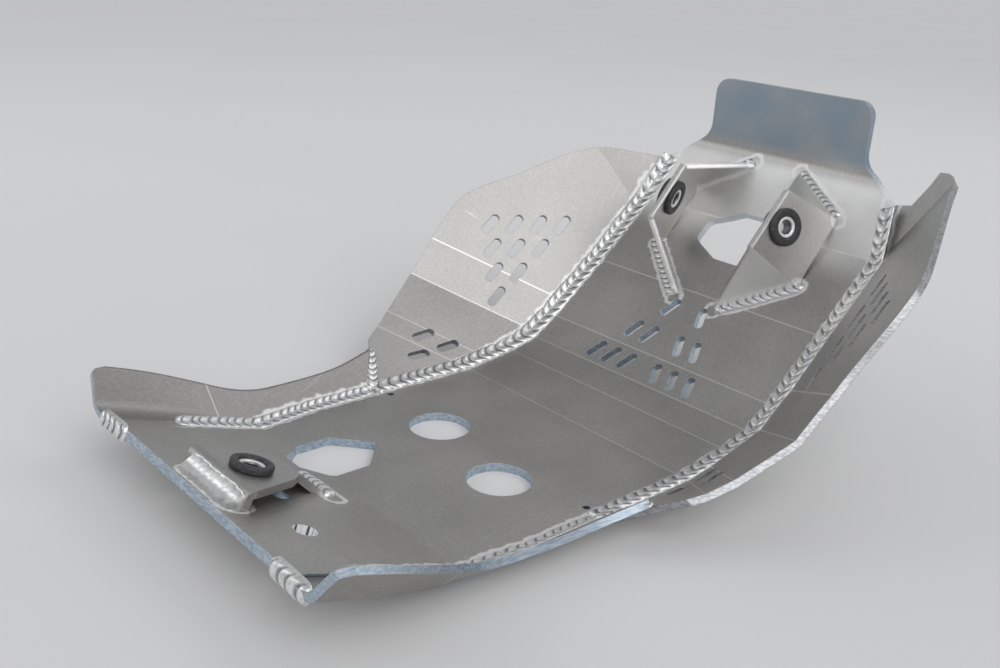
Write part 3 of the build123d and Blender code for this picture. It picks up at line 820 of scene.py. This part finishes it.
def lay_bead(name, corners, half, height, pitch, depth, cap, seed):
    """Rippled bead along corners of (point, inner sheet normal, outer sheet normal)

    half is half its width, height its crown, pitch and depth are those of the ripples, and cap is the length
    of each rounded end. u runs across the bead from -1 to 1 and s along it.
    """
    chance = np.random.default_rng(seed)
    place, inner, outer, distance = stations_of(corners)
    place = smooth(place, corner_window)
    inner, outer = unit(smooth(inner, corner_window)), unit(smooth(outer, corner_window))
    up = unit(inner + outer)
    run = unit(np.gradient(place, axis=0))
    side = unit(np.cross(run, up))
    opening = np.arccos(np.clip((inner * outer).sum(1), -1, 1)) / 2
    total = distance[-1]
    count = int(total / pitch) + spare_ripples
    lengths = pitch * (1 + length_spread * chance.standard_normal(count).clip(-1.5, 1.5))
    starts = np.cumsum(lengths) - 2 * pitch
    tall = 1 + height_spread * chance.standard_normal(count)
    wide = 1 + width_spread * chance.standard_normal(count)

    u = np.linspace(-1, 1, bead_columns)[None, :]
    s = distance[:, None]
    reach = s + ripple_lag * half * (1 - u**2)
    index = np.clip(np.searchsorted(starts, reach.ravel()).reshape(reach.shape), 1, count - 1)
    phase = np.clip((reach - starts[index - 1]) / lengths[index], 0, 1)
    scale = 1 - np.abs(2 * phase**ripple_skew - 1) ** 2
    centre_index = index[:, bead_columns // 2]
    blend = smooth(wide[centre_index][:, None], width_window)
    to_end = np.minimum(distance, total - distance)
    round_end = np.sqrt(1 - (1 - np.clip(to_end / cap, 0, 1)) ** 2)[:, None]
    width = half * blend * (tip_width + (1 - tip_width) * round_end)
    crown = np.clip(1 - u**4, 0, 1) * height * round_end
    ripple = depth * (scale * tall[index] - 1) * (1 - u**4) * round_end
    bed = np.abs(u) * width * np.tan(opening)[:, None]
    lift = bed * np.abs(u) ** 0.5 + crown + ripple - sink
    across = u * width
    grid = place[:, None, :] + side[:, None, :] * across[..., None] + up[:, None, :] * lift[..., None]
    skirts = []
    for edge in (-1, 1):
        sunk = bed[:, 0 if edge < 0 else -1] - skirt_depth
        out = edge * (width[:, 0] + skirt_width)
        skirts.append((place + side * out[:, None] + up * sunk[:, None])[:, None, :])
    piece = close_grid(name, np.concatenate([skirts[0], grid, skirts[1]], axis=1))
    # How deep each point lies in its groove, stored for the painted shade in the grooves
    groove = np.pad((1 - scale) * (1 - u**6) * round_end, ((0, 0), (1, 1)))
    piece.data.attributes.new("groove", "FLOAT", "POINT").data.foreach_set("value", groove.ravel())
    return piece


def close_grid(name, grid):
    """Closed mesh from a grid of points, with a flat underside"""
    rows, columns = grid.shape[:2]
    number = np.arange(rows * columns).reshape(rows, columns)
    faces = []
    for i in range(rows - 1):
        for j in range(columns - 1):
            faces.append((number[i, j], number[i, j + 1], number[i + 1, j + 1], number[i + 1, j]))
        faces.append((number[i, 0], number[i + 1, 0], number[i + 1, -1], number[i, -1]))
    faces.append(tuple(number[0][::-1]))
    faces.append(tuple(number[-1]))
    piece = add_mesh(name, grid.reshape(-1, 3).tolist(), [tuple(map(int, face)) for face in faces])
    piece.data.polygons.foreach_set("use_smooth", [len(face) == 4 for face in faces])
    piece.data.validate()
    return piece


print("bead tool ready")

# %% [markdown]
# ## Finish of the weld metal
# Fresh filler is the shiniest metal on the object. Patches of oxide dull it a little, and the grooves between
# the ripples get painted shade, darker the deeper a point lies. The bead tool has already stored how deep
# each point lies in its groove, so the mask needs no image map.

# %% Weld metal
weld = Finish("weld_metal")
soot = weld.noise(420, 4).rise(0.42, 0.72)
fine = weld.noise(2600, 3)
weld_colour = weld.mix(soot, (0.90, 0.90, 0.89, 1), (0.66, 0.66, 0.65, 1))
weld_colour = weld.mix(weld.noise(90, 2).rise(0.5, 0.75) * 0.4, weld_colour, (0.76, 0.80, 0.86, 1))
# Painted shade in the grooves between the ripples
groove = weld.node("ShaderNodeAttribute", {"attribute_name": "groove"}, {}, "Fac").rise(0.2, 0.75)
weld_colour = weld.mix(groove * 0.9, weld_colour, (0.26, 0.26, 0.27, 1))
weld.feed(
    Base_Color=weld_colour,
    Roughness=0.38 + soot * 0.12 + (fine - 0.5) * 0.1,
    Metallic=1.0,
    Normal=weld.bump(fine, 0.08, 0.1 * mm),
)
print("weld metal:", len(weld.tree.nodes), "nodes")

# %% [markdown]
# ## Beads on the seams
# The long seam between the centre plate and a front wing is the showpiece: wide, even ripples all the way up.
# Behind the joint of the two wings the bead runs on to the tail, flatter and with faint ripples. The same
# stations serve both sides, mirrored, with another seed so that the two beads aren't copies.

# %% Seam beads
mirror = Matrix.Diagonal((-1, 1, 1))


def finish_bead(piece, node):
    """Weld metal, and the solid that the bead is shown for"""
    piece.data.materials.append(weld.material)
    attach(piece, "root")
    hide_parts(node)
    print(piece.name, len(piece.data.polygons), "faces")


def seam_corners(ys, fold):
    """Corners of a bead on the right seam, where the wing leaves it along a fold"""
    corners = []
    for start, end in zip(ys, ys[1:] + ys[-2:-1]):
        run = (seam_point(end) - seam_point(start)).normalized()
        run = run if end > start else -run
        plate_up = Vector((1, 0, 0)).cross(run).normalized()
        corners.append((seam_point(start), plate_up, fold.cross(run).normalized()))
    return corners


def on_side(corners, side):
    """Corners of the right half, mirrored where the bead is on the left"""
    return corners if side == "right" else [tuple(mirror @ v for v in corner) for corner in corners]


front_ys = [joint_y] + [y for y, z in plate_profile[2:8]] + [seam_front_y]
tail_ys = [tail_seam_y, belly_rear_y, taper_y, joint_y]
seam_beads = {  # ys, fold of the wing, seed, then half, height, pitch, depth and cap in mm
    "front": (front_ys, front_fold, 11, 6.2, 3.0, 7.6, 1.3, 3.0),
    "rear": (tail_ys, rear_fold, 21, 4.6, 1.3, 5.6, 0.35, 8.0),
}
for number, side in enumerate(("right", "left")):
    for kind, (ys, fold, seed, *sizes) in seam_beads.items():
        corners = on_side(seam_corners(ys, fold), side)
        bead = lay_bead(f"{side}_{kind}_seam_bead", corners, *[v * mm for v in sizes], seed + number)
        finish_bead(bead, f"{side}_{kind}_seam_weld")

# %% [markdown]
# ## Short beads
# Each bracket stands on two beads, a short bead runs up each joint between two wings, and the corners of the
# tail are built up with a lump of filler over the end of the seam. They come from the same tool, with their
# own widths and ripples. The rear bracket has a bead along its rear edge, which fills the corner between the
# bracket and the tail, and a flat bead at its front.

# %% Short beads
ramp_up = plate_normal(0.18)
bow_up = plate_normal(0.25)
low_wing_up = wing_normal(0.0, belly_front_y)
rear_wing_up = rear_fold.cross(Vector((0, 1, 0))).normalized()
joint_foot = seam_point(joint_y)
joint_head = joint_foot + Vector((0.026, 0.015, 0.026 * sin(rear_flare)))
half_sheet = 2.5
edge_middle = tail_start - tail_up * half_sheet * mm
foot_end = foot_outer + (foot_outer - foot_inner) * 0.1
short_seed, rear_seed = 41, 51
short_beads = {  # ends, upward normals of the two sheets, then half, height, pitch, depth and cap in mm
    "bracket_foot": (foot_inner, foot_end, ramp_up, ramp_up, 5.2, 2.8, 5.4, 0.75, 5.2),
    "bracket_head": (head_inner, head_outer, bow_up, bow_up, 4.0, 2.3, 4.6, 0.55, 4.0),
    "wing_joint": (joint_foot, joint_head, rear_wing_up, low_wing_up, 4.3, 1.9, 5.2, 0.6, 4.0),
    "tail_corner": (
        edge_middle + Vector((0.0700, 0, 0)), edge_middle + Vector((0.1005, 0, -0.0005)),
        -tail_run, -tail_run, 4.9, 3.0, 7.0, 0.8, 5.5,
    ),
}
for number, side in enumerate(("right", "left")):
    for kind, (start, end, inner_up, outer_up, *sizes) in short_beads.items():
        corners = on_side([(start, inner_up, outer_up), (end, inner_up, outer_up)], side)
        bead = lay_bead(f"{side}_{kind}_bead", corners, *[v * mm for v in sizes], short_seed + number)
        finish_bead(bead, f"{side}_{kind}_weld")
rear_beads = {
    "rear": (on_tail(-0.027, 0.0106), on_tail(0.026, 0.0106), -tail_run, 6.2, 2.0, 6.4, 1.0, 5.0),
    "front": (on_tail(-0.021, 0.0712), on_tail(0.0105, 0.0712), tail_up, 4.4, 2.3, 5.0, 0.5, 4.2),
}
for kind, (start, end, outer_up, *sizes) in rear_beads.items():
    corners = [(start, tail_up, outer_up), (end, tail_up, outer_up)]
    bead = lay_bead(f"rear_bracket_{kind}_bead", corners, *[v * mm for v in sizes], rear_seed)
    finish_bead(bead, f"rear_bracket_{kind}_weld")

# %% [markdown]
# ## Rubber grommets and metal sleeves
# The motorcycle's screws pass through metal sleeves that sit in soft rubber rings, so that stones don't ring
# the frame like a bell. Both are turned shapes: a profile in radius and height is spun round an axis. The
# rubber gets fat rounded rims, the sleeve gets chamfers and fine turning marks.


# %% Turn a profile round an axis
ring_segments = 96


def directions_round(axis, angles):
    """The axis as a unit vector, and directions square to it at some angles round it"""
    normal = axis.normalized()
    first = normal.orthogonal().normalized()
    second = normal.cross(first)
    return normal, [first * cos(angle) + second * sin(angle) for angle in angles]


def even_angles(count):
    return [2 * pi * k / count for k in range(count)]


def turned(name, profile, centre, axis):
    """Closed ring from a profile of (radius, height) corners in mm round an axis"""
    normal, directions = directions_round(axis, even_angles(ring_segments))
    size = len(profile)
    points, faces = [], []
    for k, out in enumerate(directions):
        after = (k + 1) % ring_segments
        points += [centre + out * (radius * mm) + normal * (height * mm) for radius, height in profile]
        for j in range(size):
            below = (j + 1) % size
            faces.append((k * size + j, k * size + below, after * size + below, after * size + j))
    piece = add_mesh(name, points, faces)
    piece.data.polygons.foreach_set("use_smooth", [True] * len(faces))
    return piece


def rounded(corners, radius, steps=6):
    """Profile with its corners rounded off, where a corner takes at most half of each side"""
    made = []
    for before, here, after in zip(corners[-1:] + corners[:-1], corners, corners[1:] + corners[:1]):
        to_before = Vector((before[0] - here[0], before[1] - here[1]))
        to_after = Vector((after[0] - here[0], after[1] - here[1]))
        cut = min(radius, to_before.length * 0.49, to_after.length * 0.49)
        start = Vector(here) + to_before.normalized() * cut
        end = Vector(here) + to_after.normalized() * cut
        for k in range(steps + 1):
            t = k / steps
            made.append(tuple(start * (1 - t) ** 2 + Vector(here) * 2 * t * (1 - t) + end * t**2))
    return made


print("lathe ready")

# %% [markdown]
# ## Rubber and turned metal
# Black rubber isn't black paint: it has a dull sheen, a fine mould texture and dust in its pores. The face of
# the sleeve is bright and its bore painted dark, as shade inside the tube, and the lathe tool leaves rings on
# the face, which a noise on the distance from the axis gives.


# %% Rubber and sleeve finishes
def rubber_finish():
    """Dull black rubber with dust in its pores"""
    rubber = Finish("black_rubber")
    dust = rubber.noise(500, 5).rise(0.5, 0.85)
    pores = rubber.noise(3200, 3)
    rubber.feed(
        Base_Color=rubber.mix(dust * 0.6, (0.035, 0.035, 0.037, 1), (0.14, 0.14, 0.14, 1)),
        Roughness=0.42 + pores * 0.16 + dust * 0.1,
        Normal=rubber.bump(pores, 0.25, 0.1 * mm),
    )
    return rubber.material


def sleeve_finish(name, centre, axis):
    """Turned metal round an axis: a bright face outside the bore, with rings, and painted shade in the bore
    """
    metal = Finish(name)
    offset = metal.vector("SUBTRACT", metal.place(), tuple(centre))
    height = metal.dot(offset, tuple(axis))
    radius = metal.vector("LENGTH", metal.vector("CROSS_PRODUCT", offset, tuple(axis)), output=1)
    rings = metal.node("ShaderNodeCombineXYZ", {}, {0: radius, 1: height})
    marks = metal.noise(2600, 2, rings)
    # Outside the bore the face is bright; inside, the bore is painted dark as shade in the tube
    face = radius.rise(4.3 * mm, 4.9 * mm)
    worn = metal.mix(marks, (0.86, 0.86, 0.85, 1), (0.97, 0.97, 0.96, 1))
    metal.feed(
        Base_Color=metal.mix(face, (0.26, 0.26, 0.27, 1), worn),
        Roughness=0.3 + marks * 0.1,
        Metallic=1 - face * 0.55,
        Normal=metal.bump(marks, 0.12, 0.05 * mm),
    )
    return metal.material


black_rubber = rubber_finish()
print("rubber ready")

# %% [markdown]
# ## Fixings in their places
# Each ring straddles a 4 mm sheet, so its profile has a groove. The lathe puts the profile's zero height on
# the outer face of the sheet, which is where the bracket was drawn. The rear ring is slimmer than the other
# two and its top stands a little higher.

# %% Grommets and sleeves, profiles in mm
ring_bore, ring_groove, ring_rim = 6.7, 9.0, 11.9
rear_slimness, rear_lift = 0.78, 0.9
grommet_profile = rounded(
    [
        (ring_bore, 3.0), (ring_rim, 3.0), (ring_rim, 0.05), (ring_groove, 0.05),
        (ring_groove, -4.05), (ring_rim, -4.05), (ring_rim, -7.0), (ring_bore, -7.0),
    ],
    radius=1.7,
)
sleeve_profile = rounded(
    [(4.0, 1.2), (5.2, 2.4), (6.5, 2.4), (6.5, -6.4), (5.2, -6.4), (4.0, -5.2)], radius=0.25, steps=2
)
front_seat = Vector((46.5196, 200.473, 117.272)) * mm
front_axis = Vector((0.941565, -0.25555, 0.219431)).normalized()
rear_seat = Vector((0, -142.915, 33.8065)) * mm
fixings = {
    "right_front": (front_seat, front_axis),
    "left_front": (mirror @ front_seat, mirror @ front_axis),
    "rear": (rear_seat, tail_up),
}
for kind, (seat, axis) in fixings.items():
    profile = grommet_profile
    if kind == "rear":
        profile = [
            (ring_bore + (r - ring_bore) * rear_slimness, h + (rear_lift if h > 1 else 0)) for r, h in profile
        ]
    ring = turned(f"{kind}_rubber_ring", profile, seat, axis)
    ring.data.materials.append(black_rubber)
    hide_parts(f"{kind}_grommet")
    tube = turned(f"{kind}_turned_tube", sleeve_profile, seat, axis)
    tube.data.materials.append(sleeve_finish(f"{kind}_turned_sleeve", seat, axis))
    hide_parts(f"{kind}_sleeve")
    for piece in (ring, tube):
        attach(piece, "root")
    print(kind, "fixing:", len(ring.data.polygons), "and", len(tube.data.polygons), "faces")

# %% [markdown]
# ## Walls of the tail's holes
# The walls of the two bolt holes of the tail get a painted highlight, almost white, with dark upright stripes
# of painted shade at the grooves from cutting. Each gets a thin fluted lining, because the hole itself is
# plain. The dark stripes follow a noise that doesn't change along the hole.


# %% Lining of a hole
flute_steps = 12
lining_wall, lining_bed, flute_height = 0.12 * mm, 0.1 * mm, 0.30 * mm


def fluted_wall(name, centre, axis, radius, length, flutes):
    """Thin lining of a hole, with the upright grooves that a cutting beam leaves"""
    angles = even_angles(flutes * flute_steps)
    normal, directions = directions_round(axis, angles)
    points, faces = [], []
    for k, (angle, out) in enumerate(zip(angles, directions)):
        after = (k + 1) % len(angles)
        inside = radius - lining_wall - flute_height * abs(sin(angle * flutes / 2))
        outside = radius + lining_bed
        for r, h in ((outside, 0.5), (inside, 0.5), (inside, -0.5), (outside, -0.5)):
            points.append(centre + out * r + normal * (h * length))
        for j in range(4):
            below = (j + 1) % 4
            faces.append((4 * k + j, 4 * after + j, 4 * after + below, 4 * k + below))
    return add_mesh(name, points, faces)


# Painted highlight on the hole walls, with dark stripes of painted shade; the metallic is lowered so that the
# white shows
painted_hole_glint = Finish("painted_hole_glint")
along_tail = painted_hole_glint.dot(painted_hole_glint.place(), tuple(tail_run))
across = painted_hole_glint.node("ShaderNodeCombineXYZ", {}, {0: painted_hole_glint.at("X"), 1: along_tail})
stripes = painted_hole_glint.noise(520, 1, across).rise(0.36, 0.44)
painted_hole_glint.feed(
    Base_Color=painted_hole_glint.mix(stripes, (0.10, 0.11, 0.14, 1), (0.96, 0.97, 0.98, 1)),
    Roughness=0.36 + stripes * 0.1,
    Metallic=0.4,
    Normal=painted_hole_glint.bump(stripes, 0.2, 0.05 * mm),
)
bolt_x, bolt_from_edge = 0.046, 0.0316
for side, x in (("right", bolt_x), ("left", -bolt_x)):
    hole = on_tail(x, bolt_from_edge) - tail_up * half_sheet * mm
    lining = fluted_wall(
        f"{side}_tail_hole_wall", hole, tail_up, radius=6.0 * mm, length=4.9 * mm, flutes=17
    )
    lining.data.materials.append(painted_hole_glint.material)
    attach(lining, "root")
    print(lining.name, len(lining.data.polygons), "faces")

# %% [markdown]
# ## Floor and light
# A pale floor keeps the shadow. Satin metal shows what stands round it, so the light is large and soft: a
# very wide sun from the right is the key, with a weak softbox behind on the left and another one overhead.
# The world is a plain grey that gets darker upwards, which is what turns the flat belly mid grey.

# %% Floor
low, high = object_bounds()
reach = 30.0
floor_corners = [(-reach, -reach), (reach, -reach), (reach, reach), (-reach, reach)]
floor = add_mesh("floor", [(x, y, low.z) for x, y in floor_corners], [(0, 1, 2, 3)])
floor_finish = Finish("floor_paper")
tone = floor_finish.noise(3, 2)
floor_finish.feed(
    Base_Color=floor_finish.mix(tone, (0.74, 0.74, 0.745, 1), (0.78, 0.78, 0.78, 1)), Roughness=0.9
)
floor.data.materials.append(floor_finish.material)


# %% Lamps and world
def add_lamp(name, kind, heading, power):
    """Lamp that shines along a heading, with the object that holds it"""
    lamp = bpy.data.lights.new(name, kind)
    lamp.energy = power
    holder = add_object(name, lamp)
    holder.rotation_mode = "QUATERNION"
    holder.rotation_quaternion = heading.to_track_quat("-Z", "Y")
    return lamp, holder


def softbox(name, direction, distance, watts):
    """Area lamp that looks at the middle of the object from a direction"""
    toward = Vector(direction).normalized()
    lamp, holder = add_lamp(name, "AREA", -toward, watts)
    lamp.shape = "RECTANGLE"
    lamp.size, lamp.size_y = 1.2, 0.8
    holder.location = (low + high) / 2 + toward * distance


softbox("left_rear", (-0.69, -0.66, 0.45), distance=1.8, watts=3)
softbox("overhead", (0.1, 0.65, 0.75), distance=2.0, watts=4)
sun = add_lamp("key", "SUN", Vector((-0.73, 0.21, -0.64)), 1.25)[0]
sun.angle = radians(62)

world = bpy.data.worlds.new("world")
bpy.context.scene.world = world
world.use_nodes = True
sky = world.node_tree
background = sky.nodes["Background"]
direction = sky.nodes.new("ShaderNodeTexCoord")
split = sky.nodes.new("ShaderNodeSeparateXYZ")
ramp = sky.nodes.new("ShaderNodeValToRGB")
sky.links.new(direction.outputs["Generated"], split.inputs[0])
sky.links.new(split.outputs["Z"], ramp.inputs[0])
sky.links.new(ramp.outputs[0], background.inputs[0])
level_grey, upward_grey = (0.60, 0.61, 0.63, 1), (0.34, 0.34, 0.35, 1)
ramp.color_ramp.elements[0].color = level_grey
ramp.color_ramp.elements[1].color = upward_grey
bpy.context.scene.view_settings.view_transform = "Standard"
print("lit")
